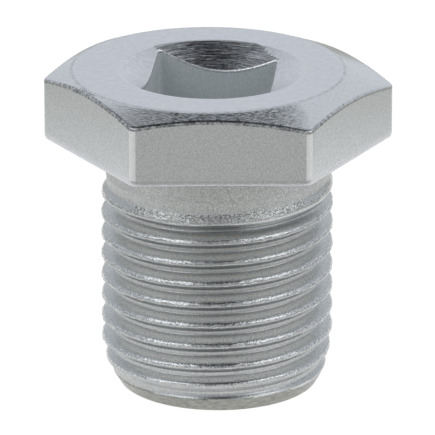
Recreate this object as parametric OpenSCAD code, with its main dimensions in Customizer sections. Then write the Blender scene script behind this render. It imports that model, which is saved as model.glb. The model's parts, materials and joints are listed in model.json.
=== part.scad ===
// Drain plug: a hexagon head with a square drive socket in its top, on a threaded shank.
// It is one forged and turned piece of steel. The shank's axis is Z and its end face is at Z = 0,
// so the plug stands on that end. X runs across two corners of the head, and a flat of it faces -Y.
// The shank is drawn at the diameter over the crests of its thread.

/* [Hexagon head] */
// Width across the flats, where the spanner grips
hex_width = 20.85; // [17.5:0.05:30]
// Height of the head, from the seat under it to its flat top
head_height = 5; // [3.5:0.1:12]
// How far each upright corner is rounded off
corner_round = 0.1; // [0.02:0.01:0.4]
// Bevel round the foot of the head
foot_bevel = 0.3; // [0.05:0.05:1]

/* [Turned crown] */
// Diameter of the flat on top of the head
crown_dia = 18.7; // [14:0.1:26]
// Slope of the crown's edge below that flat, in degrees
crown_slope = 21.5; // [8:0.5:35]
// How far the lathe cut the crown off the shank's axis, along X
crown_shift_x = -0.7; // [-1:0.05:1]
// The same, along Y
crown_shift_y = -0.2; // [-1:0.05:1]

/* [Drive socket] */
// Width of the square socket, for a square key of 8 mm
socket_width = 8.4; // [5:0.1:9]
// Depth of the square's walls below the flat top
socket_depth = 7.5; // [5:0.1:12]
// How far each corner of the square is rounded off
socket_corner_round = 0.15; // [0.05:0.05:0.6]
// Turn of the square against the hexagon, in degrees
socket_turn = -11; // [-45:0.5:45]
// How far the square sits off the shank's axis, along X
socket_shift_x = -0.75; // [-1:0.05:1]
// The same, along Y
socket_shift_y = -0.2; // [-1:0.05:1]
// Diameter of the pilot hole that leaves a pointed floor
pilot_dia = 7.6; // [3:0.1:8]
// Full angle of the pilot hole's point, in degrees
pilot_angle = 130; // [90:1:150]

/* [Countersink] */
// Diameter of the countersink at the flat top
countersink_dia = 12.7; // [9:0.1:16]
// Full angle of the countersink, in degrees
countersink_angle = 110; // [80:1:130]
// How far the countersink sits off the shank's axis, along X
countersink_shift_x = -0.45; // [-1:0.05:1]
// The same, along Y
countersink_shift_y = -0.3; // [-1:0.05:1]

/* [Threaded shank] */
// Length of the shank, from its end to the seat under the head
shank_length = 17.5; // [12:0.1:40]
// Diameter over the crests of the thread
thread_dia = 16; // [14:0.05:20]
// Diameter of the plain neck under the head
neck_dia = 15.35; // [13:0.05:19]
// Length of the plain neck
neck_length = 3; // [1:0.1:6]
// Length over which the thread rises out of the neck
runout_length = 1.2; // [0.5:0.1:3]
// Diameter of the flat end face
end_dia = 13.7; // [8:0.1:18]
// Slope of the chamfer round the end, against the axis, in degrees
end_slope = 30; // [15:1:60]

/* [Hidden] */
// Segments that stand for a round outline
$fn = 96;
// How far a cutting shape stands out of the face it cuts
overshoot = 1;
// Sides of the head
hex_sides = 6;
// Zinc plate on steel
zinc_colour = [0.76, 0.78, 0.80];

// Height of the seat under the head, and of the head's flat top
seat_z = shank_length;
top_z = seat_z + head_height;
// Sharp corner of the hexagon, and the circle that its corners are rounded to
hex_corner_r = hex_width / 2 / cos(180 / hex_sides);
hex_round_r = hex_corner_r - corner_round;
// The crown's edge falls away out to a circle that takes in every corner
crown_r = crown_dia / 2;
crown_reach = hex_corner_r + norm([crown_shift_x, crown_shift_y]) + overshoot;
crown_drop = (crown_reach - crown_r) * tan(crown_slope);
// Circle that the corners of the square socket are rounded to
socket_round_r = socket_width / sqrt(2) - socket_corner_round;
// Depth of the pointed floor below the square's walls
pilot_depth = pilot_dia / 2 / tan(pilot_angle / 2);
// The countersink is cut as a whole cone that stands out of the flat top
countersink_r = countersink_dia / 2 + overshoot * tan(countersink_angle / 2);
countersink_depth = countersink_r / tan(countersink_angle / 2);
// Height of the chamfer at the shank's end
end_chamfer = (thread_dia - end_dia) / 2 / tan(end_slope);

// Two opposite flats of the head, as one long bar with a bevel along the foot of each flat
module flat_pair() {
    rotate([90, 0, 90])
        linear_extrude(height = 2 * (hex_corner_r + overshoot), center = true)
            polygon([
                [-hex_width / 2 + foot_bevel, 0],
                [hex_width / 2 - foot_bevel, 0],
                [hex_width / 2, foot_bevel],
                [hex_width / 2, head_height],
                [-hex_width / 2, head_height],
                [-hex_width / 2, foot_bevel]
            ]);
}

// The hexagon that three such bars share, with its upright corners rounded
module hexagon() {
    intersection() {
        intersection_for(pair = [0 : hex_sides / 2 - 1])
            rotate([0, 0, pair * 360 / hex_sides])
                flat_pair();
        cylinder(h = head_height, r = hex_round_r);
    }
}

// The lathe's cut over the head: a flat top and an edge that slopes down to the corners
module crown() {
    translate([crown_shift_x, crown_shift_y, 0])
        rotate_extrude()
            polygon([
                [0, -overshoot],
                [crown_reach, -overshoot],
                [crown_reach, head_height - crown_drop],
                [crown_r, head_height],
                [0, head_height]
            ]);
}

module head() {
    translate([0, 0, seat_z])
        intersection() {
            hexagon();
            crown();
        }
}

// The shank as one revolved profile: end face, chamfer, thread, run-out and neck
module shank() {
    rotate_extrude()
        polygon([
            [0, 0],
            [end_dia / 2, 0],
            [thread_dia / 2, end_chamfer],
            [thread_dia / 2, seat_z - neck_length - runout_length],
            [neck_dia / 2, seat_z - neck_length],
            [neck_dia / 2, seat_z + foot_bevel],
            [0, seat_z + foot_bevel]
        ]);
}

// The square hole that the key goes into, with the pointed floor of its pilot hole
module socket_cut() {
    translate([socket_shift_x, socket_shift_y, top_z - socket_depth]) {
        rotate([0, 0, socket_turn])
            intersection() {
                linear_extrude(height = socket_depth + overshoot)
                    square(socket_width, center = true);
                cylinder(h = socket_depth + overshoot, r = socket_round_r);
            }
        translate([0, 0, -pilot_depth])
            cylinder(h = pilot_depth, r1 = 0, d2 = pilot_dia);
    }
}

module countersink_cut() {
    translate([countersink_shift_x, countersink_shift_y, top_z + overshoot - countersink_depth])
        cylinder(h = countersink_depth, r1 = 0, r2 = countersink_r);
}

module drain_plug() {
    color(zinc_colour)
        difference() {
            union() {
                head();
                shank();
            }
            socket_cut();
            countersink_cut();
        }
}

drain_plug();
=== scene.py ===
# %% [markdown]
# # A drain plug in bright zinc plate
# The plug is one piece of steel: a hexagon head with a square drive socket in its top, on a shank
# with a rolled thread. It stands on the end of its shank. This lesson models it as one closed mesh,
# in rows of faces that grow from one edge to the next, and then dresses it in plated steel.

# %% Load the plug's solid as the frame
import json
import math

import bmesh
import bpy
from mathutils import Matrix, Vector, noise


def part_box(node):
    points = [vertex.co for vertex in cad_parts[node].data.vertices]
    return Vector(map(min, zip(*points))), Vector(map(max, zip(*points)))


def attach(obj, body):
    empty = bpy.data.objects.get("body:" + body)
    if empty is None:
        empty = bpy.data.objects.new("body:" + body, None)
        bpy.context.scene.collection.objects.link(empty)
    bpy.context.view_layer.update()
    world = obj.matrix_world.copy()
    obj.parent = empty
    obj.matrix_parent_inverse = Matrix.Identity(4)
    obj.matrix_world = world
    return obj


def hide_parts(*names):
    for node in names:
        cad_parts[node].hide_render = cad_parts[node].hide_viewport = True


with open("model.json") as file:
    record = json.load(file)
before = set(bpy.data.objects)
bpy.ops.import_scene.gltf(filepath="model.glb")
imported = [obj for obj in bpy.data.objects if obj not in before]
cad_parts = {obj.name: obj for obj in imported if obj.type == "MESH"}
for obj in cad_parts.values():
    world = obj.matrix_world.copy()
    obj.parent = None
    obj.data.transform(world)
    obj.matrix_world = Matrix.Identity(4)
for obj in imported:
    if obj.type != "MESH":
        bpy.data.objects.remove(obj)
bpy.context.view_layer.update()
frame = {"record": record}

# %% [markdown]
# ## Sizes
# Everything here is in metres, in the solid's own frame: Z runs up the shank from its end face, X runs
# through two corners of the hexagon and a flat faces -Y. The main sizes are read from the solid and its
# record, so the mesh follows if those change. The others are measured on the real plug in millimetres,
# and each stands in the cell that needs it first.

# %% Read the main sizes
MM = 0.001
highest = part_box("drain_plug")[1]
mounts = {mount["name"]: mount for mount in frame["record"]["mounts"]}
top_z = highest.z
seat_z = mounts["seat"]["pos_m"][2]
flat_reach = highest.y
thread_r = mounts["thread"]["dims"]["r_mm"] * MM
socket_axis = Vector(mounts["drive_socket"]["pos_m"]).to_2d()
axis = Vector((0, 0))
print(f"head {(top_z - seat_z) / MM:.2f} mm high and {2 * flat_reach / MM:.2f} mm across its flats")

# %% [markdown]
# ## Growing a surface row by row
# A turned or milled part could be cut with Booleans, but those leave long thin faces that shade badly
# in bright metal. Here a closed loop of edges is extruded again and again instead, and each new row is
# put in its place. Every vertex remembers its home, which is the point of the outline that it grew
# from, and an even share of a full turn, so a hexagon can pass into a circle without a seam.

# %% Note on a loop where it began


def remember(mesh, edges, centre):
    """Notes on each vertex of a loop its point of the outline and its even share of a turn."""
    layers = mesh.verts.layers
    home = layers.float_vector.get("home") or layers.float_vector.new("home")
    share = layers.float.get("share") or layers.float.new("share")
    nudge = 1e-4  # keeps a vertex that lies on +X first, whichever side of it rounding puts it
    loop = {vertex for edge in edges for vertex in edge.verts}
    in_order = sorted(
        loop, key=lambda v: (math.atan2(v.co.y - centre.y, v.co.x - centre.x) + nudge) % math.tau)
    for rank, vertex in enumerate(in_order):
        vertex[home] = vertex.co
        vertex[share] = math.tau * rank / len(in_order)


print("a loop keeps its home and its share of a turn")

# %% Lay a closed loop with rounded corners
ROW_COUNT = 240


def rounded_outline(mesh, sides, corner_r, turn, centre, offset, segments):
    """One closed loop of ROW_COUNT edges: a regular polygon with rounded corners."""
    corners = bmesh.ops.create_circle(mesh, segments=sides, radius=corner_r)["verts"]
    for corner in corners:
        # The operator starts at +Y, and a quarter turn back brings the first corner to +X
        angle = math.atan2(corner.co.y, corner.co.x) - math.pi / 2 + turn
        corner.co = (centre.x + corner_r * math.cos(angle), centre.y + corner_r * math.sin(angle), 0)
    arcs = bmesh.ops.bevel(mesh, geom=corners, offset=offset, offset_type="OFFSET", segments=segments,
                           profile=0.5, affect="VERTICES", material=-1)
    loop = set(arcs["verts"])
    longest_in_arc = 4 * offset
    straight = [edge for edge in mesh.edges
                if set(edge.verts) <= loop and edge.calc_length() > longest_in_arc]
    bmesh.ops.subdivide_edges(mesh, edges=straight, cuts=ROW_COUNT // sides - segments - 1)
    edges = [edge for edge in mesh.edges if edge.is_wire]
    remember(mesh, edges, centre)
    return edges


print("each row has", ROW_COUNT, "edges")

# %% Grow one row of faces


def grow(mesh, rim, row, finish):
    """Extrudes the rim into faces of one finish and puts each new vertex where the row says."""
    made = bmesh.ops.extrude_edge_only(mesh, edges=rim)["geom"]
    home = mesh.verts.layers.float_vector["home"]
    share = mesh.verts.layers.float["share"]
    vertices = {item for item in made if isinstance(item, bmesh.types.BMVert)}
    for vertex in vertices:
        vertex.co = row(vertex[home].to_2d(), vertex[share])
    for item in made:
        if isinstance(item, bmesh.types.BMFace):
            item.material_index = finish
    return [item for item in made if isinstance(item, bmesh.types.BMEdge) and set(item.verts) <= vertices]


def circle_row(centre, radius, z):
    """A level circle, with its vertices at even shares of a turn."""
    return lambda home, share: Vector((
        centre.x + radius * math.cos(share), centre.y + radius * math.sin(share), z))


print("a row is a function of a vertex's home and share, such as a circle")

# %% Grow several rows over a rounded edge
ROUND_STEPS = 4


def round_over(mesh, rim, before, corner, after, finish):
    """Grows rows along a curve that starts at one row, bends towards a second and ends at a third."""
    for step in range(ROUND_STEPS + 1):
        t = step / ROUND_STEPS

        def between(home, share):
            bend = corner(home, share)
            return before(home, share).lerp(bend, t).lerp(bend.lerp(after(home, share), t), t)

        rim = grow(mesh, rim, between, finish)
    return rim


print("a rounded edge has", ROUND_STEPS, "steps")

# %% [markdown]
# ## A finish for each kind of surface
# The whole plug has one zinc plate, but the steel below it was drawn, turned, broached or rolled, and
# each of these shows through. A painted mask could tell them apart, but its border would blur. So every
# face gets the number of its finish as it grows, and the materials are put on in this order below. Some
# finishes also carry painted light or painted shade.

# %% Number the finishes
(DRAWN, BURNISHED, FOOT, CROWN, EDGE, GROOVE, RING, SUNK, BROACHED, FLANK, CREST, RUNOUT, NECK,
 TURNED, BURR, DISHED, ROOT, UNDERSIDE) = range(18)
print("finishes:", UNDERSIDE + 1)

# %% [markdown]
# ## The head
# Hexagon bar is drawn through a die, so its corners are a little round. A six-sided cylinder with a
# bevel would do for the bar alone, but the crown and the neck have to join on to it. So one hexagonal
# loop is laid at the foot of the head, and the rest grows from there: inwards over the seat to the neck,
# and outwards up the flats.

# %% Lay the hexagon's loop at the foot of the head
hexagon_sides = 6
hexagon_r = flat_reach / math.cos(math.pi / hexagon_sides)
corner_offset = 0.35 * MM
corner_steps = 10
foot_round = 0.16 * MM


def hexagon_row(inset, z):
    """The hexagon's outline, moved in from the flats, at one height."""
    return lambda home, share: (home * (1 - inset / flat_reach)).to_3d() + Vector((0, 0, z))


plug = bmesh.new()
hexagon = rounded_outline(plug, hexagon_sides, hexagon_r, 0, axis, corner_offset, corner_steps)
foot = hexagon_row(foot_round, seat_z)
for vertex in plug.verts:
    vertex.co = foot(vertex.co.to_2d(), 0)
print("loop at the foot:", len(hexagon), "edges")

# %% Grow inwards over the seat, to the neck
neck_r = 7.675 * MM
neck_fillet = 0.25 * MM
hold = 0.1 * MM  # a row this close to a rounded edge keeps the face beyond it flat

rim = grow(plug, hexagon, hexagon_row(foot_round + hold, seat_z), NECK)
rim = grow(plug, rim, circle_row(axis, neck_r + neck_fillet + hold, seat_z), NECK)
round_over(
    plug, rim,
    circle_row(axis, neck_r + neck_fillet, seat_z),
    circle_row(axis, neck_r, seat_z),
    circle_row(axis, neck_r, seat_z - neck_fillet),
    NECK)
print("seat grown:", len(plug.faces), "faces")

# %% [markdown]
# ## The crown
# A lathe cuts the crown: a flat ring with an edge that slopes down to the corners. It was cut off the
# bar's axis, so the slope is wide at one side and narrow at the other, and each flat ends in an arc of
# its own. A Boolean with a cone gives the same arcs, but with sharp edges. Here the height of the crown
# is worked out over each point of the outline, so every arc gets its rounded edge from the same rows.

# %% Find the crown's height over a point
crown_r = 9.35 * MM
crown_axis = Vector((-0.7, -0.2)) * MM
crown_fall = math.tan(math.radians(21.5))


def on_crown(point):
    """The crown above a point of the plan: level inside its ring and sloping outside."""
    fall = max((point - crown_axis).length - crown_r, 0) * crown_fall
    return Vector((point.x, point.y, top_z - fall))


def crown_row(inset, drop):
    """The crown's edge over the hexagon's outline, moved in and lowered."""
    return lambda home, share: (
        on_crown(home + (crown_axis - home).normalized() * inset) - Vector((0, 0, drop)))


def ring_row(radius, depth):
    """A circle on the crown, and how deep it is cut in."""
    return lambda home, share: (
        on_crown(crown_axis + (home - crown_axis).normalized() * radius) - Vector((0, 0, depth)))


corner_point = Vector((hexagon_r, 0))
print(f"the crown falls {(top_z - on_crown(corner_point).z) / MM:.2f} mm to the corner on +X")

# %% Grow round the foot, up the flats and over the crown's edge
foot_lip = 0.03 * MM
foot_height = 0.42 * MM
edge_round = 0.14 * MM

rim = round_over(
    plug, hexagon, foot, hexagon_row(foot_lip, seat_z), hexagon_row(0, seat_z + foot_height), DRAWN)
rim = grow(plug, rim, hexagon_row(0, seat_z + foot_height + hold), DRAWN)
rim = grow(plug, rim, crown_row(0, edge_round + hold), DRAWN)
rim = round_over(
    plug, rim, crown_row(0, edge_round), crown_row(0, 0), crown_row(edge_round, 0), EDGE)
rim = grow(plug, rim, crown_row(edge_round + hold, 0), CROWN)
print("flats grown:", len(plug.faces), "faces")

# %% Grow over the ring, with the fine mark that the tool left round it
# Each step: how far outside the ring's edge and how deep, in millimetres, and its finish
ring_steps = (
    (0.2, 0, CROWN),
    (0.12, 0, CROWN),
    (0.05, 0.02, GROOVE),
    (-0.02, 0.03, GROOVE),
    (-0.08, 0.02, GROOVE),
    (-0.15, 0, RING),
    (-0.25, 0, RING))
for outside, depth, finish in ring_steps:
    rim = grow(plug, rim, ring_row(crown_r + outside * MM, depth * MM), finish)
print("ring grown:", len(plug.faces), "faces")

# %% Grow over the rim of the countersink
rim_r = 6.35 * MM
rim_axis = Vector((-0.45, -0.3)) * MM
rim_round = 0.1 * MM
sink_fall = 1 / math.tan(math.radians(55))


def in_sink(point):
    """The countersink's cone below a point of the plan."""
    fall = (rim_r - (point - rim_axis).length) * sink_fall
    return Vector((point.x, point.y, top_z - fall))


def sink_row(radius):
    """A circle on the countersink."""
    return lambda home, share: in_sink(circle_row(rim_axis, radius, 0)(home, share).to_2d())


rim = grow(plug, rim, circle_row(rim_axis, rim_r + rim_round + hold, top_z), RING)
round_over(
    plug, rim,
    circle_row(rim_axis, rim_r + rim_round, top_z),
    circle_row(rim_axis, rim_r, top_z),
    sink_row(rim_r - rim_round),
    SUNK)
print("head grown:", len(plug.faces), "faces")

# %% [markdown]
# ## The drive socket
# A square key turns the plug. Its socket is broached into a drilled hole, whose point is left in the
# floor, and the mouth is countersunk. A Boolean would cut all three at once, but it leaves edges that
# are hard to round. So the square's loop is laid at the foot of the walls and grows both ways: down to
# the drill's point, and up to the countersink, where its last row meets the head's vertex for vertex.

# %% Lay the square's loop at the foot of the walls
socket_sides = 4
socket_half = 4.2 * MM
broach_turn = 11
socket_turn = math.radians(45 - broach_turn)
socket_offset = 0.36 * MM
socket_steps = 8
floor_z = top_z - 7.5 * MM

square = rounded_outline(plug, socket_sides, socket_half * math.sqrt(2), socket_turn, socket_axis,
                         socket_offset, socket_steps)
for vertex in {vertex for edge in square for vertex in edge.verts}:
    vertex.co.z = floor_z
print(f"square laid {(top_z - floor_z) / MM:.1f} mm below the crown")

# %% Grow the drilled floor
pilot_r = 3.8 * MM
pilot_fall = 1 / math.tan(math.radians(65))

rim = grow(plug, square, circle_row(socket_axis, pilot_r, floor_z), BROACHED)
for radius in (pilot_r / 2, 0):
    depth = (pilot_r - radius) * pilot_fall
    rim = grow(plug, rim, circle_row(socket_axis, radius, floor_z - depth), BROACHED)
print(f"the drill's point is {depth / MM:.2f} mm deep")

# %% Grow the walls, their edge and the countersink
socket_edge = 0.08 * MM
sink_rows = 6


def mouth_row(out, drop):
    """Where the square meets the countersink, moved out along the cone and lowered."""
    return lambda home, share: (
        in_sink(home + (home - rim_axis).normalized() * out) - Vector((0, 0, drop)))


rim = grow(plug, square, mouth_row(0, socket_edge + hold), BROACHED)
rim = round_over(
    plug, rim, mouth_row(0, socket_edge), mouth_row(0, 0), mouth_row(socket_edge, 0), BURR)
for row in range(1, sink_rows + 1):
    def between(home, share):
        start = mouth_row(socket_edge, 0)(home, share).to_2d()
        end = sink_row(rim_r - rim_round)(home, share).to_2d()
        return in_sink(start.lerp(end, row / sink_rows))

    rim = grow(plug, rim, between, SUNK)
print("head and socket:", len(plug.faces), "faces")

# %% [markdown]
# ## Two surfaces in the countersink
# The countersink's tool left rings round its cone. On the far side they show as long streaks in a dark
# tone that is painted shade, and the other sides are a smooth dish in a pale tone that is painted light.
# A blend in the material could part them, but on the real plug the change is as sharp as a chip's edge. So
# the faces outside the marked arc simply take another finish.

# %% Part the marked side of the countersink, with painted shade, from the smooth ones, with painted light
marked_shaded_from = 36  # degrees round the countersink, from +X
marked_shaded_to = 127
# Past this reach along this way, the far side is smooth and has the painted light as well
smooth_lit_way = Vector((0.855, 0.519))
smooth_lit_reach = 5.18 * MM

smooth_lit_count = 0
for face in plug.faces:
    place = face.calc_center_median().to_2d()
    beside = place - rim_axis
    angle = math.degrees(math.atan2(beside.y, beside.x))
    marked = marked_shaded_from < angle < marked_shaded_to and place.dot(smooth_lit_way) <= smooth_lit_reach
    # Faces off the marked arc take the pale sides' finish, which is painted light
    if face.material_index == SUNK and not marked:
        face.material_index = DISHED
        smooth_lit_count += 1
print("smooth faces in the countersink:", smooth_lit_count)

# %% [markdown]
# ## The thread
# The thread is rolled: a die presses a 60 degree groove into the blank, and the metal that it pushes up
# meets in ragged crests. A bump could draw it, but then the outline of the shank would stay straight.
# So one pitch of the profile is drawn, spun about the axis and raised by a pitch in that turn, which
# makes one turn of the helix, and copies of that turn are stacked up the shank.

# %% Draw one pitch of the profile
PITCH = 1.5 * MM
crest_z = 0.944 * MM
crest_width = 0.26 * MM
crest_lead = 0.1 * MM
thread_depth = 0.78 * MM
root_r = thread_r - thread_depth
flank_rise = thread_depth * math.tan(math.radians(30))
root_width = PITCH - crest_width - 2 * flank_rise
turns_below = 2  # the helix starts below the end face, so that it covers the whole end
start_z = crest_z - crest_lead - turns_below * PITCH
profile = (
    (thread_r, 0),
    (thread_r, crest_width),
    (root_r, crest_width + flank_rise),
    (root_r, crest_width + flank_rise + root_width),
    (thread_r, PITCH))
profile_rounds = (0.17 * MM, 0.05 * MM, 0.12 * MM)
round_segments = 3
shortest_flank = 0.4 * MM
flank_cuts = 3

thread = bmesh.new()
points = [thread.verts.new((radius, 0, start_z + rise)) for radius, rise in profile]
for first, second in zip(points, points[1:]):
    thread.edges.new((first, second))
for corner, offset in zip(points[1:4], profile_rounds):
    bmesh.ops.bevel(thread, geom=[corner], offset=offset, offset_type="OFFSET", segments=round_segments,
                    profile=0.5, affect="VERTICES", material=-1)
flanks = [edge for edge in thread.edges if edge.calc_length() > shortest_flank]
bmesh.ops.subdivide_edges(thread, edges=flanks, cuts=flank_cuts)
print("profile of one pitch:", len(thread.edges), "edges")

# %% Spin it into one turn and stack the turns
# The turn ends a pitch above its start, so this spin isn't merged; the doubles between turns go later
bmesh.ops.spin(thread, geom=thread.verts[:] + thread.edges[:], axis=(0, 0, 1), cent=(0, 0, 0),
               dvec=(0, 0, PITCH / ROW_COUNT), angle=math.tau, steps=ROW_COUNT)
first_turn = thread.verts[:] + thread.edges[:] + thread.faces[:]
turn_count = math.ceil((seat_z - start_z) / PITCH) + 1
for turn in range(1, turn_count):
    copied = bmesh.ops.duplicate(thread, geom=first_turn)["geom"]
    raised = [item for item in copied if isinstance(item, bmesh.types.BMVert)]
    bmesh.ops.translate(thread, verts=raised, vec=(0, 0, PITCH * turn))
print(f"thread spun: {turn_count} turns, {len(thread.faces)} faces")

# %% [markdown]
# ## The two ends of the thread
# The thread runs out into the plain neck above and fades into a turned chamfer below. The stacked turns
# reach past both. They could be cut off there, but a cut leaves a ragged row of triangles. Instead each
# vertex is drawn to the radius that the shank has at its height, and those past an end collapse on to
# its last row, where they are merged. Noise then dents the crests, where the rolled metal closed badly.

# %% Find the shank's radius at a height
end_r = 6.85 * MM
end_slope = math.tan(math.radians(30))
end_edge = 0.1 * MM
shank_top = seat_z - neck_fillet
crest_fade = (15.7 * MM, 13.6 * MM)  # heights over which the crests rise out of the neck
groove_fade = (13.9 * MM, 13.2 * MM)  # and over which the groove sinks into it
groove_start = (0.3 * MM, 1.5 * MM)  # the same at the chamfer
taper_r = 7.36 * MM  # the first crests are lower than the rest
taper_slope = 0.2


def ease(edges, value):
    """0 at the first edge, 1 at the second, and smooth between them."""
    t = (value - edges[0]) / (edges[1] - edges[0])
    t = min(max(t, 0), 1)
    return t * t * (3 - 2 * t)


def mix(first, second, share):
    """The first value at a share of 0, and the second at 1."""
    return first + (second - first) * share


def shank_radius(z, lift):
    """The shank's radius at a height, where lift is 0 in the thread's root and 1 on its crest."""
    chamfer_r = end_r + z * end_slope
    crest = mix(neck_r, min(thread_r, taper_r + z * taper_slope), ease(crest_fade, z))
    root = mix(neck_r, root_r, ease(groove_fade, z))
    root = mix(chamfer_r, root, ease(groove_start, z))
    return min(mix(root, crest, lift), chamfer_r)


print(f"crests reach {shank_radius(shank_top / 2, 1) / MM:.2f} mm half way up the shank")

# %% Draw the thread in to its ends and dent its crests
crest_lift = 0.85
torn_lift = (crest_lift, 1)
torn_top = (shank_top, 14 * MM)
torn_start = (0.1 * MM, 1 * MM)
ragged_grain = 0.45 * MM
ragged_depth = 0.09 * MM
ragged_sway = 0.07 * MM
sway_from = Vector((7, 3, 5))  # another part of the noise than the dents use
fine_scale = 2.3  # a finer noise on top of the first, at half its depth
fine_share = 0.5
thread_shift = -0.085 * MM  # the die rolled the thread a little off the axis
shift_top = (14.5 * MM, 13 * MM)

lifted = thread.verts.layers.float.new("lift")
for vertex in thread.verts:
    column = round(math.atan2(vertex.co.y, vertex.co.x) / math.tau * ROW_COUNT)
    angle = math.tau * column / ROW_COUNT
    vertex[lifted] = (vertex.co.to_2d().length - root_r) / thread_depth
    z = min(max(vertex.co.z, end_edge), shank_top)
    radius = shank_radius(z, vertex[lifted])
    torn = ease(torn_lift, vertex[lifted]) * ease(torn_top, z) * ease(torn_start, z)
    spot = vertex.co / ragged_grain
    dent = max(noise.noise(spot) + fine_share * noise.noise(fine_scale * spot), 0)
    radius -= dent * ragged_depth * torn
    z += noise.noise(spot + sway_from) * ragged_sway * torn
    shift = thread_shift * ease(shift_top, z) * ease(groove_start, z)
    vertex.co = (shift + radius * math.cos(angle), radius * math.sin(angle), z)
print(f"thread drawn in between {end_edge / MM:.2f} and {shank_top / MM:.2f} mm")

# %% [markdown]
# ## Finishes along the shank
# Rolling leaves more than one surface: smooth flanks, dull roots, ragged crests and a torn band where the die
# ran out, and the undersides get a brighter plate that is painted light. The neck above was never rolled, and
# the chamfer below was turned, with a darker plate that is painted shade.
# Each face is told apart by its height, its tilt and its lift between root and crest.

# %% Choose the finish of each face of the shank
root_lift = 0.1
level_tilt = 0.1
runout_z = 14.2 * MM
runout_width = 0.4 * MM
runout_half = 48  # degrees to either side of the front
chamfer_top = 1.2 * MM
chamfer_slack = 0.04 * MM
merge_distance = 0.004 * MM


def shank_finish(face):
    """The finish of one face of the shank."""
    middle = face.calc_center_median()
    plan = middle.to_2d()
    face.normal_update()
    tilt = face.normal.z * math.copysign(1, face.normal.to_2d().dot(plan))
    lift = sum(vertex[lifted] for vertex in face.verts) / len(face.verts)
    runout_line = runout_z + PITCH * (math.atan2(plan.y, plan.x) % math.tau / math.tau - 0.5)
    from_front = abs(math.degrees(math.atan2(plan.x, -plan.y)))
    if middle.z < chamfer_top and plan.length > end_r + middle.z * end_slope - chamfer_slack:
        return TURNED
    if middle.z > runout_line:
        return NECK
    if middle.z > runout_line - runout_width and from_front < runout_half:
        return RUNOUT
    if lift > crest_lift:
        return CREST if tilt > level_tilt else ROOT
    if lift < root_lift:
        return ROOT
    # Faces that face down take the underside's brighter plate, which is painted light
    return FLANK if tilt > -level_tilt else UNDERSIDE


for face in thread.faces:
    face.material_index = shank_finish(face)
bmesh.ops.remove_doubles(thread, verts=thread.verts[:], dist=merge_distance)
print(f"thread trimmed: {len(thread.faces)} faces")

# %% [markdown]
# ## The end face and the whole plug
# The shank ends in a flat face that the plug stands on. A single many-sided face would close it, but
# rows that grow to the middle keep its edge round and its shading even. Then the shank and the head are
# put into one mesh. They share a row of vertices at the neck, so merging the doubles closes the plug.

# %% Close the end face
end_loop = [edge for edge in thread.edges if edge.is_boundary and edge.verts[0].co.z < PITCH]
remember(thread, end_loop, axis)
rim = round_over(
    thread, end_loop,
    circle_row(axis, end_r + end_edge * end_slope, end_edge),
    circle_row(axis, end_r, 0),
    circle_row(axis, end_r - end_edge, 0),
    TURNED)
for radius in (end_r - end_edge - hold, end_r / 2, 0):
    rim = grow(thread, rim, circle_row(axis, radius, 0), TURNED)
print("shank closed:", len(thread.faces), "faces")

# %% Join the shank and the head into one closed mesh
shortest_edge = 0.001 * MM

shank = bpy.data.meshes.new("shank")
thread.to_mesh(shank)
thread.free()
plug.from_mesh(shank)
bpy.data.meshes.remove(shank)
bmesh.ops.remove_doubles(plug, verts=plug.verts[:], dist=merge_distance)
bmesh.ops.dissolve_degenerate(plug, edges=plug.edges[:], dist=shortest_edge)
bmesh.ops.recalc_face_normals(plug, faces=plug.faces[:])
open_edges = [edge for edge in plug.edges if not edge.is_manifold]
triangles = sum(len(face.verts) - 2 for face in plug.faces)
print(f"plug: {triangles} triangles, {len(open_edges)} open edges, "
      f"{plug.calc_volume(signed=True) / MM ** 3:.0f} cubic mm")

# %% Part the hexagon's corners and foot from its flats
corner_turn = math.radians(4)
foot_tilt = -0.07
sixth = math.tau / hexagon_sides

for layers in (plug.verts.layers.float_vector, plug.verts.layers.float):
    for layer in list(layers.values()):
        layers.remove(layer)
for face in plug.faces:
    face.smooth = True
    if face.material_index != DRAWN:
        continue
    off_flat = abs(math.atan2(face.normal.y, face.normal.x) % sixth - sixth / 2)
    if off_flat > corner_turn:
        face.material_index = BURNISHED
    if face.normal.z < foot_tilt:
        face.material_index = FOOT
print("faces on the flats:", sum(face.material_index == DRAWN for face in plug.faces))

# %% Put the plug in the scene, in place of its solid
plug_mesh = bpy.data.meshes.new("plug_body")
plug.to_mesh(plug_mesh)
plug.free()
plug_body = bpy.data.objects.new("plug_body", plug_mesh)
bpy.context.scene.collection.objects.link(plug_body)
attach(plug_body, "root")
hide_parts("drain_plug")
print("visible piece:", plug_body.name)

# %% [markdown]
# ## Bright zinc plate
# The plate is a few thousandths of a millimetre of zinc from a plating bath. It is a metal, so nearly
# all that it shows is a reflection, and its crystals and the steel's own texture break that up. A
# picture could carry this, but it blurs up close and needs a seam. So one function makes the plate from
# noise: the same pattern gives two tones of grey and a bump, at the grain size that the surface has.
# The real crystals are some thousandths of a millimetre across, too fine to show, so every grain below
# is drawn as coarse as it needs to show.

# %% Turn colours to linear and add nodes


def linear(colour):
    """An sRGB hex value, such as A0A19C, as linear red, green, blue and alpha."""
    parts = [int(colour[i:i + 2], 16) / 255 for i in (0, 2, 4)]
    return [c / 12.92 if c <= 0.04045 else ((c + 0.055) / 1.055) ** 2.4 for c in parts] + [1]


def add(tree, kind, inputs=None, **settings):
    """A node of that kind with its settings, and its inputs set to values or linked to sockets."""
    made = tree.nodes.new(kind)
    for name, value in settings.items():
        setattr(made, name, value)
    for name, value in (inputs or {}).items():
        if isinstance(value, bpy.types.NodeSocket):
            tree.links.new(value, made.inputs[name])
        else:
            made.inputs[name].default_value = value
    return made


print("the grey C0C0C0 reflects", round(linear("C0C0C0")[0], 2), "of the light")

# %% Follow a turned surface


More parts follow.
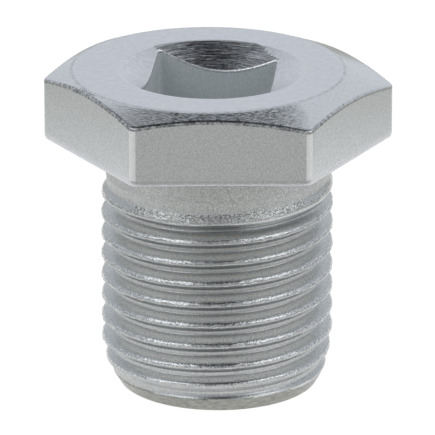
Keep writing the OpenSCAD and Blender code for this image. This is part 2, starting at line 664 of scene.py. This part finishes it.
def turned_place(tree, place, centre):
    """Object coordinates as the way out from a centre, the way round it and the height."""
    moved = add(tree, "ShaderNodeVectorMath", {0: place, 1: (*centre, 0)}, operation="SUBTRACT").outputs[0]
    plan = add(tree, "ShaderNodeVectorMath", {0: moved, 1: (1, 1, 0)}, operation="MULTIPLY").outputs[0]
    out = add(tree, "ShaderNodeVectorMath", {0: plan}, operation="LENGTH").outputs["Value"]
    parts = add(tree, "ShaderNodeSeparateXYZ", {0: moved}).outputs
    turn = add(tree, "ShaderNodeMath", {0: parts["Y"], 1: parts["X"]}, operation="ARCTAN2").outputs[0]
    arc = add(tree, "ShaderNodeMath", {0: turn, 1: thread_r}, operation="MULTIPLY").outputs[0]
    return add(tree, "ShaderNodeCombineXYZ", {"X": out, "Y": arc, "Z": parts["Z"]}).outputs[0]


print(f"the way round is measured at a radius of {thread_r / MM:.1f} mm")

# %% Make the plate
TONE_STOPS = (0.35, 0.65)  # the noise seldom leaves this range, so the two tones use all of it
CALM_SHARE = 0.15  # how much of its marks a torn surface keeps where it is calm
CALM_LEVEL = 0.65  # and the level that they fade to


def zinc(name, dull, bright, roughness, grain, height, centre=None, torn=None, metallic=1.0,
         edge="FFFFFF"):
    """Bright zinc plate with crystals of two tones, over a surface with a grain of that size and height.

    The grain's sizes, in millimetres, run along X, Y and Z, or out, round and up where the surface was
    turned about a centre. A torn surface, or one whose dark marks are painted shade, is rough within a near
    distance of a spot and calm past a far one.
    """
    plate = bpy.data.materials.new(name)
    plate.use_nodes = True
    tree = plate.node_tree
    tree.nodes.clear()
    place = add(tree, "ShaderNodeTexCoord").outputs["Object"]
    along = place if centre is None else turned_place(tree, place, centre)
    scaled = add(tree, "ShaderNodeVectorMath", {0: along, 1: [1 / (size * MM) for size in grain]},
                 operation="MULTIPLY").outputs[0]
    marks = add(tree, "ShaderNodeTexNoise", {
        "Vector": scaled, "Scale": 1.0, "Detail": 3.0, "Roughness": 0.6}).outputs["Fac"]
    if torn:
        spot, near, far = torn
        away = add(tree, "ShaderNodeVectorMath", {0: place, 1: spot}, operation="DISTANCE").outputs["Value"]
        fade = add(tree, "ShaderNodeMapRange", {
            "Value": away, "From Min": near, "From Max": far, "To Min": 1.0, "To Max": CALM_SHARE}).outputs[0]
        marks = add(tree, "ShaderNodeMix", {"Factor": fade, "A": CALM_LEVEL, "B": marks}).outputs[0]
    tones = add(tree, "ShaderNodeValToRGB", {"Fac": marks})
    for stop, position, colour in zip(tones.color_ramp.elements, TONE_STOPS, (dull, bright)):
        stop.position = position
        stop.color = linear(colour)
    bump = add(tree, "ShaderNodeBump", {"Height": marks, "Distance": height * MM, "Strength": 1.0})
    shader = add(tree, "ShaderNodeBsdfPrincipled", {
        "Base Color": tones.outputs["Color"], "Metallic": metallic, "Roughness": roughness,
        "Specular Tint": linear(edge), "Normal": bump.outputs["Normal"]})
    add(tree, "ShaderNodeOutputMaterial", {"Surface": shader.outputs["BSDF"]})
    return plate


print("the plate's tones lie between noise levels", TONE_STOPS)

# %% [markdown]
# ## Finishes of the head
# The flats still have the skin of the drawn bar, and the lathe's tool tore the chamfer between the
# crown and the front flat. The plate follows both. Where a surface scatters more than clean metal does,
# from the film that passivation leaves, its metallic value comes down so that it stays pale from above.

# %% Plate the flats, their corners and their foot
finishes = {}
# Skin of drawn bar: a fine even sparkle over a soft grey sheen
finishes[DRAWN] = zinc(
    "zinc_on_drawn_flats", "CACDCF", "E8ECEE", 0.28, (0.09, 0.09, 0.13), 0.008)
# Corners that rub against other plugs in the barrel: a pale blurred line up each corner
finishes[BURNISHED] = zinc(
    "zinc_on_burnished_corners", "F0F2F4", "FFFFFF", 0.5, (0.16, 0.16, 0.16), 0.03)
# Rolled edge of the foot: a thin bright line under each flat
finishes[FOOT] = zinc(
    "zinc_on_rolled_foot", "BCBEC2", "DADCE0", 0.3, (0.12, 0.12, 0.12), 0.02)
print("finishes made:", len(finishes))

# %% Plate the crown
torn_and_shaded_chamfer = ((0.1 * MM, -9.8 * MM, top_z), 3.6 * MM, 6.0 * MM)
edge_shade_spot = ((-4 * MM, -9 * MM, top_z), 7.5 * MM, 17 * MM)

# Turned chamfer, torn at the front: dark and light flecks that run round, and calm metal elsewhere. The dark
# flecks gathered at the front are partly painted shade.
finishes[CROWN] = zinc(
    "zinc_on_rough_chamfer", "525456", "E2E4E5", 0.1, (0.09, 0.28, 0.09), 0.08, crown_axis, torn_and_shaded_chamfer,
    edge="EEEEEE")
# Crown's edge: a broken dark line of painted shade over the flats, as under a burr, strongest at the front
# left
finishes[EDGE] = zinc(
    "zinc_on_burred_edge", "707274", "D4D6D8", 0.16, (0.22, 0.22, 0.22), 0.045, None, edge_shade_spot)
# Fine tool mark round the ring: a faint darker circle of painted shade in the groove
finishes[GROOVE] = zinc(
    "zinc_in_tool_mark", "B4B6BA", "D8DADC", 0.3, (0.3, 0.3, 0.3), 0.03)
# Finely turned ring: smooth and pale, with hardly any grain
finishes[RING] = zinc(
    "zinc_on_turned_ring", "D9DBDE", "E2E4E7", 0.25, (0.5, 0.5, 0.5), 0.001, metallic=0.55)
print("finishes made:", len(finishes))

# %% Plate the countersink and the socket
# Rings of the countersink's tool: long streaks that run round its far side, in a dark tone that is partly
# painted shade
finishes[SUNK] = zinc(
    "zinc_on_countersink", "707274", "C6C8CA", 0.1, (0.1, 3.0, 0.1), 0.06, rim_axis)
# Smooth sides of the countersink: soft, and pale with painted light, so they melt into the ring
finishes[DISHED] = zinc(
    "zinc_on_countersink_sides", "E0E2E6", "F0F2F5", 0.4, (0.3, 0.3, 0.3), 0.012, metallic=0.6)
# Walls that the broach scraped: matt blue-grey, with no clear reflection
finishes[BROACHED] = zinc(
    "zinc_on_broached_walls", "C4CACB", "D4D9DA", 0.7, (0.12, 0.12, 0.2), 0.008, metallic=0.4)
# Thin burr round the socket's mouth: a sparkling bright line
finishes[BURR] = zinc(
    "zinc_on_broached_edge", "D8DADC", "FFFFFF", 0.25, (0.12, 0.12, 0.12), 0.03)
print("finishes made:", len(finishes))

# %% [markdown]
# ## Finishes of the shank
# Rolling presses the flanks smooth, so they mirror each other and the floor. Metal that was pushed up
# and never pressed stays coarse: the crests, the run-out and the blank's own skin on the neck. A single
# finish with a mask over the height would do, but separate ones let each be matched by itself.

# %% Plate the thread
# Flanks that face up: smooth and grey, darker where they mirror the underside above
finishes[FLANK] = zinc(
    "zinc_on_rolled_flanks", "ACAEAD", "C6C8C7", 0.24, (0.12, 0.12, 0.12), 0.018)
# Undersides: a brighter plate that is painted light, lifting their shade and lighting the flank below
finishes[UNDERSIDE] = zinc(
    "zinc_under_rolled_flanks", "D4D6D5", "ECEEED", 0.24, (0.12, 0.12, 0.12), 0.018)
# Roots and the blunt front of the crests: a dull line along each groove
finishes[ROOT] = zinc(
    "zinc_in_rolled_roots", "A8AAAA", "C4C6C6", 0.3, (0.12, 0.12, 0.12), 0.01)
# Tops of the crests: a broken glitter along each turn
finishes[CREST] = zinc(
    "zinc_on_ragged_crests", "9A9C9C", "E2E4E4", 0.1, (0.09, 0.17, 0.09), 0.026, axis)
print("finishes made:", len(finishes))

# %% Plate the run-out, the neck and the end
# Torn band where the die ran out: dark and light flecks under the neck
finishes[RUNOUT] = zinc(
    "zinc_on_torn_runout", "747674", "E6E8E6", 0.12, (0.09, 0.16, 0.09), 0.05, axis)
# Skin of the blank on the neck and the seat: matt and sandy
finishes[NECK] = zinc(
    "zinc_on_rough_neck", "B0B2B0", "DCDEDC", 0.45, (0.1, 0.1, 0.1), 0.05)
# Turned chamfer and end face: short marks that run round, on a darker plate that is painted shade for the
# shaded floor at the plug's foot that they mirror
finishes[TURNED] = zinc(
    "zinc_on_turned_end", "82837E", "A6A7A1", 0.3, (0.12, 0.5, 0.1), 0.018, axis)

for finish in sorted(finishes):
    plug_mesh.materials.append(finishes[finish])
print("materials on the plug:", len(plug_mesh.materials))

# %% [markdown]
# ## The floor
# The plug stands on a sheet of pale paper. One flat grid is enough, since it reaches past the view on
# every side. The camera and the metal see it as a nearly white glow, and the lamps see matt paper, so
# it keeps the plug's shadow. The glow is a soft pool behind the plug that fades towards the front. A
# brighter lamp could draw that pool too, but it would bleach the plug as well.

# %% Lay the floor
floor_half = 3

scene = bpy.context.scene
scene.view_settings.view_transform = "Standard"
sheet = bmesh.new()
bmesh.ops.create_grid(sheet, x_segments=1, y_segments=1, size=floor_half)
floor_mesh = bpy.data.meshes.new("floor")
sheet.to_mesh(floor_mesh)
sheet.free()
floor = bpy.data.objects.new("floor", floor_mesh)
scene.collection.objects.link(floor)
print("floor:", 2 * floor_half, "m wide")

# %% Shade the pool of light on it
pool_centre = (0, 0.0375, 0)
pool_squeeze = (1.1, 1.0, 1.0)
pool_inside = 0.0505
pool_outside = 0.067

paper = bpy.data.materials.new("pale_paper")
paper.use_nodes = True
paper_tree = paper.node_tree
paper_tree.nodes.clear()
on_floor = add(paper_tree, "ShaderNodeTexCoord").outputs["Object"]
from_pool = add(paper_tree, "ShaderNodeVectorMath", {0: on_floor, 1: pool_centre},
                operation="SUBTRACT").outputs[0]
squeezed = add(paper_tree, "ShaderNodeVectorMath", {0: from_pool, 1: pool_squeeze},
               operation="MULTIPLY").outputs[0]
# The length of the squared coordinates gives the pool an outline between an oval and a rectangle
squared = add(paper_tree, "ShaderNodeVectorMath", {0: squeezed, 1: squeezed},
              operation="MULTIPLY").outputs[0]
spread = add(paper_tree, "ShaderNodeVectorMath", {0: squared}, operation="LENGTH").outputs["Value"]
pool = add(paper_tree, "ShaderNodeMapRange", {
    "Value": spread, "From Min": pool_inside ** 2, "From Max": pool_outside ** 2},
    interpolation_type="SMOOTHSTEP").outputs[0]
tint = add(paper_tree, "ShaderNodeValToRGB", {"Fac": pool})
for stop, colour in zip(tint.color_ramp.elements, ("FFFFFF", "B0B0AB")):
    stop.color = linear(colour)
print(f"pool of light: {2 * pool_inside:.3f} m deep")

# %% Let the camera and the metal see the glow, and the lamps the paper
glow_strength = 1.12
glow_share = 0.85

rays = add(paper_tree, "ShaderNodeLightPath").outputs
seen = add(paper_tree, "ShaderNodeMath", {0: rays["Is Camera Ray"], 1: rays["Is Glossy Ray"]},
           operation="MAXIMUM").outputs[0]
seen = add(paper_tree, "ShaderNodeMath", {0: seen, 1: rays["Is Transmission Ray"]},
           operation="MAXIMUM").outputs[0]
glowing = add(paper_tree, "ShaderNodeMath", {0: seen, 1: glow_share}, operation="MULTIPLY").outputs[0]
matt = add(paper_tree, "ShaderNodeBsdfDiffuse", {"Color": linear("F4F4F2")})
glow = add(paper_tree, "ShaderNodeEmission", {"Color": tint.outputs["Color"], "Strength": glow_strength})
blend = add(paper_tree, "ShaderNodeMixShader", {
    "Fac": glowing, 1: matt.outputs[0], 2: glow.outputs[0]})
add(paper_tree, "ShaderNodeOutputMaterial", {"Surface": blend.outputs[0]})
floor_mesh.materials.append(paper)
print("floor material:", paper.name)

# %% [markdown]
# ## The studio
# Bright metal shows the room around it, so the room matters as much as the lamps. This one is a pale
# backdrop behind the plug, low pale walls all round, pale screens at both sides and a dark ceiling over
# the camera. A photographed room could stand in, but here three soft ramps on the direction do it.

# %% Shade the backdrop
backdrop_way = (0.2, 1.0, -0.3)
# Each stop: how far round towards the backdrop, and the brightness there
backdrop_stops = (
    (0.0, 0.08), (0.35, 0.09), (0.55, 0.08), (0.62, 0.09), (0.65, 0.54), (0.685, 0.72), (0.76, 0.75),
    (0.92, 0.79), (0.975, 0.86))

world = bpy.data.worlds.new("studio")
scene.world = world
world.use_nodes = True
studio_tree = world.node_tree
studio_tree.nodes.clear()
direction = add(studio_tree, "ShaderNodeTexCoord").outputs["Generated"]
towards = add(studio_tree, "ShaderNodeVectorMath", {0: direction, 1: backdrop_way},
              operation="DOT_PRODUCT").outputs["Value"]
towards = add(studio_tree, "ShaderNodeMapRange", {"Value": towards, "From Min": -1.0}).outputs[0]
backdrop = add(studio_tree, "ShaderNodeValToRGB", {"Fac": towards})
stops = backdrop.color_ramp.elements
while len(stops) < len(backdrop_stops):
    stops.new(0.5)
for stop, (position, brightness) in zip(stops, backdrop_stops):
    stop.position = position
    stop.color = (brightness, brightness, brightness, 1)
print("backdrop:", len(stops), "stops")

# %% Add the walls and the side screens
wall_top = (0.36, 0.52)
wall_brightness = 0.48
screen_edge = (0.35, 0.55)
screen_brightness = 0.7
cool_white = (0.93, 0.97, 1.04, 1)

ways = add(studio_tree, "ShaderNodeSeparateXYZ", {"Vector": direction}).outputs
walls = add(studio_tree, "ShaderNodeMapRange", {
    "Value": ways["Z"], "From Min": wall_top[0], "From Max": wall_top[1],
    "To Min": wall_brightness, "To Max": 0.0}, interpolation_type="SMOOTHSTEP").outputs[0]
sideways = add(studio_tree, "ShaderNodeMath", {0: ways["X"]}, operation="ABSOLUTE").outputs[0]
screens = add(studio_tree, "ShaderNodeMapRange", {
    "Value": sideways, "From Min": screen_edge[0], "From Max": screen_edge[1],
    "To Min": 0.0, "To Max": screen_brightness}, interpolation_type="SMOOTHSTEP").outputs[0]
room = add(studio_tree, "ShaderNodeMath", {0: backdrop.outputs["Color"], 1: walls},
           operation="MAXIMUM").outputs[0]
room = add(studio_tree, "ShaderNodeMath", {0: room, 1: screens}, operation="MAXIMUM").outputs[0]
light = add(studio_tree, "ShaderNodeBackground", {"Color": cool_white, "Strength": room})
add(studio_tree, "ShaderNodeOutputWorld", {"Surface": light.outputs[0]})
print("studio nodes:", len(studio_tree.nodes))

# %% [markdown]
# ## Lamps and camera
# Two equal softboxes stand in front, left and right, and light every side that the camera sees without
# a hard shadow. A sun lamp would leave one small hot spot on the metal instead. The camera looks down a
# little through a long lens, from many times the plug's height away, so upright edges stay parallel.

# %% Place the softboxes
softbox_width = 0.7
softbox_height = 0.45
softbox_radiance = 1.0
softbox_aim = Vector((0, 0, 0.01))
softboxes = (("left_softbox", (-0.55, -0.46, 0.42)), ("right_softbox", (0.55, -0.46, 0.42)))

for name, lamp_place in softboxes:
    lamp = bpy.data.lights.new(name, "AREA")
    lamp.shape = "RECTANGLE"
    lamp.size = softbox_width
    lamp.size_y = softbox_height
    lamp.energy = softbox_radiance * math.pi * softbox_width * softbox_height
    softbox = bpy.data.objects.new(name, lamp)
    softbox.location = lamp_place
    softbox.rotation_euler = (softbox_aim - softbox.location).to_track_quat("-Z", "Y").to_euler()
    scene.collection.objects.link(softbox)
    print(f"{name}: {lamp.energy:.2f} W")

# %% Place the camera
camera_azimuth = math.radians(-1.0)
camera_elevation = math.radians(19.6)
camera_distance = 428.1 * MM
camera_target = Vector((-0.053, 0, 11.626)) * MM

lens = bpy.data.cameras.new("camera")
lens.sensor_width = 36
lens.lens = 513.4
lens.clip_start = 0.01
lens.clip_end = 20
camera = bpy.data.objects.new("camera", lens)
camera.location = camera_target + camera_distance * Vector((
    math.sin(camera_azimuth) * math.cos(camera_elevation),
    -math.cos(camera_azimuth) * math.cos(camera_elevation),
    math.sin(camera_elevation)))
camera.rotation_euler = (camera_target - camera.location).to_track_quat("-Z", "Y").to_euler()
scene.collection.objects.link(camera)
scene.camera = camera
print("camera at", tuple(round(c, 4) for c in camera.location))
